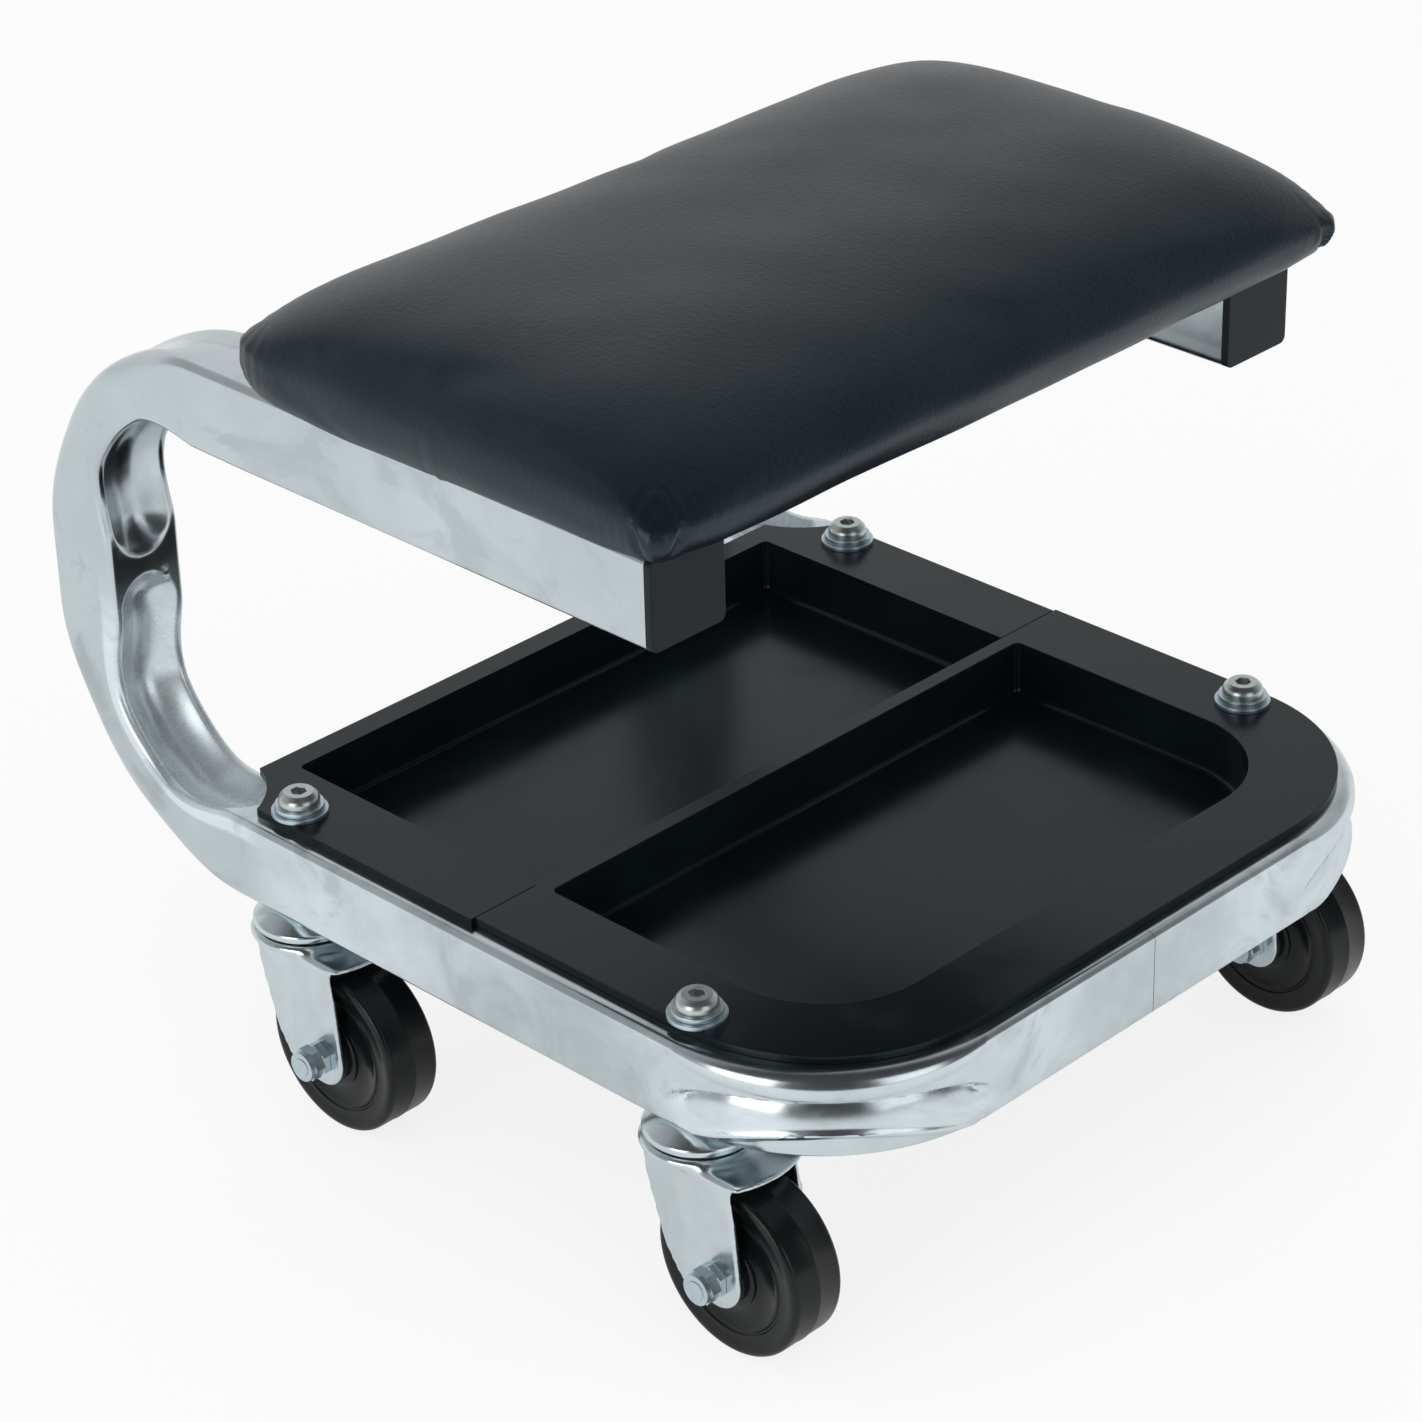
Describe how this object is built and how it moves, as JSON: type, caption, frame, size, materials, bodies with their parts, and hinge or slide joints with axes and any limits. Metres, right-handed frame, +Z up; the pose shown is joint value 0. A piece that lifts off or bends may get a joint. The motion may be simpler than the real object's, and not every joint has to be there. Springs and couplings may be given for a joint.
{
  "type": "creeper seat",
  "caption": "Low rolling workshop seat: padded seat on a C shaped square tube frame with tool trays below and swivel casters.",
  "frame": {"origin": "on the floor, below the middle of the whole seat", "axes": "+Z up, -Y towards the front rail and the open side of the frame, +X to the right of a view from the front"},
  "size_m": [0.4, 0.446, 0.388],
  "materials": {
    "frame_chrome": "bright nickel chrome plate with faint draw lines",
    "zinc_plate": "bright zinc plate with a faint blue tint",
    "fork_zinc": "pressed steel sheet, zinc plated",
    "bright_steel": "polished steel",
    "black_plastic": "moulded, satin",
    "tray_plastic": "moulded, satin with a fine grain",
    "wheel_black": "hard moulded wheel, semi gloss",
    "vinyl": "grained vinyl, satin",
    "foam": "open cell foam",
    "board_wood": "plywood"
  },
  "bodies": {
    "frame": {"frame_tube_left": "frame_chrome", "frame_tube_right": "frame_chrome", "joiner_sleeve": "zinc_plate", "joiner_screws": "zinc_plate", "arm_plug_left": "black_plastic", "arm_plug_right": "black_plastic", "rear_tray": "tray_plastic", "front_tray": "tray_plastic", "tray_screws": "bright_steel", "tray_lock_washers": "zinc_plate", "tray_flat_washers": "zinc_plate", "seat_board": "board_wood", "seat_foam": "foam", "seat_cover": "vinyl", "cover_staples": "bright_steel", "seat_bolts": "zinc_plate", "seat_bolt_washers": "zinc_plate", "seat_tee_nuts": "zinc_plate", "raceway_cap_front_left": "zinc_plate", "kingpin_front_left": "zinc_plate", "raceway_cap_front_right": "zinc_plate", "kingpin_front_right": "zinc_plate", "raceway_cap_rear_left": "zinc_plate", "kingpin_rear_left": "zinc_plate", "raceway_cap_rear_right": "zinc_plate", "kingpin_rear_right": "zinc_plate"},
    "fork_front_left": {"fork_front_left": "fork_zinc", "swivel_balls_front_left": "bright_steel", "axle_sleeve_front_left": "zinc_plate", "axle_bolt_front_left": "zinc_plate", "jam_nut_front_left": "zinc_plate", "lock_nut_front_left": "zinc_plate"},
    "wheel_front_left": {"wheel_front_left": "wheel_black"},
    "fork_front_right": {"fork_front_right": "fork_zinc", "swivel_balls_front_right": "bright_steel", "axle_sleeve_front_right": "zinc_plate", "axle_bolt_front_right": "zinc_plate", "jam_nut_front_right": "zinc_plate", "lock_nut_front_right": "zinc_plate"},
    "wheel_front_right": {"wheel_front_right": "wheel_black"},
    "fork_rear_left": {"fork_rear_left": "fork_zinc", "swivel_balls_rear_left": "bright_steel", "axle_sleeve_rear_left": "zinc_plate", "axle_bolt_rear_left": "zinc_plate", "jam_nut_rear_left": "zinc_plate", "lock_nut_rear_left": "zinc_plate"},
    "wheel_rear_left": {"wheel_rear_left": "wheel_black"},
    "fork_rear_right": {"fork_rear_right": "fork_zinc", "swivel_balls_rear_right": "bright_steel", "axle_sleeve_rear_right": "zinc_plate", "axle_bolt_rear_right": "zinc_plate", "jam_nut_rear_right": "zinc_plate", "lock_nut_rear_right": "zinc_plate"},
    "wheel_rear_right": {"wheel_rear_right": "wheel_black"}
  },
  "joints": [
    {"name": "swivel_front_left", "type": "hinge", "parent": "frame", "child": "fork_front_left", "pos_m": [-0.1665, -0.1348, 0.0825], "axis": [0, 0, 1], "continuous": true},
    {"name": "roll_front_left", "type": "hinge", "parent": "fork_front_left", "child": "wheel_front_left", "pos_m": [-0.1665, -0.1598, 0.0375], "axis": [1, 0, 0], "continuous": true},
    {"name": "swivel_front_right", "type": "hinge", "parent": "frame", "child": "fork_front_right", "pos_m": [0.1665, -0.1348, 0.0825], "axis": [0, 0, 1], "continuous": true},
    {"name": "roll_front_right", "type": "hinge", "parent": "fork_front_right", "child": "wheel_front_right", "pos_m": [0.1665, -0.1598, 0.0375], "axis": [1, 0, 0], "continuous": true},
    {"name": "swivel_rear_left", "type": "hinge", "parent": "frame", "child": "fork_rear_left", "pos_m": [-0.1665, 0.0949, 0.0825], "axis": [0, 0, 1], "continuous": true},
    {"name": "roll_rear_left", "type": "hinge", "parent": "fork_rear_left", "child": "wheel_rear_left", "pos_m": [-0.1665, 0.0699, 0.0375], "axis": [1, 0, 0], "continuous": true},
    {"name": "swivel_rear_right", "type": "hinge", "parent": "frame", "child": "fork_rear_right", "pos_m": [0.1665, 0.0949, 0.0825], "axis": [0, 0, 1], "continuous": true},
    {"name": "roll_rear_right", "type": "hinge", "parent": "fork_rear_right", "child": "wheel_rear_right", "pos_m": [0.1665, 0.0699, 0.0375], "axis": [1, 0, 0], "continuous": true}
  ]
}
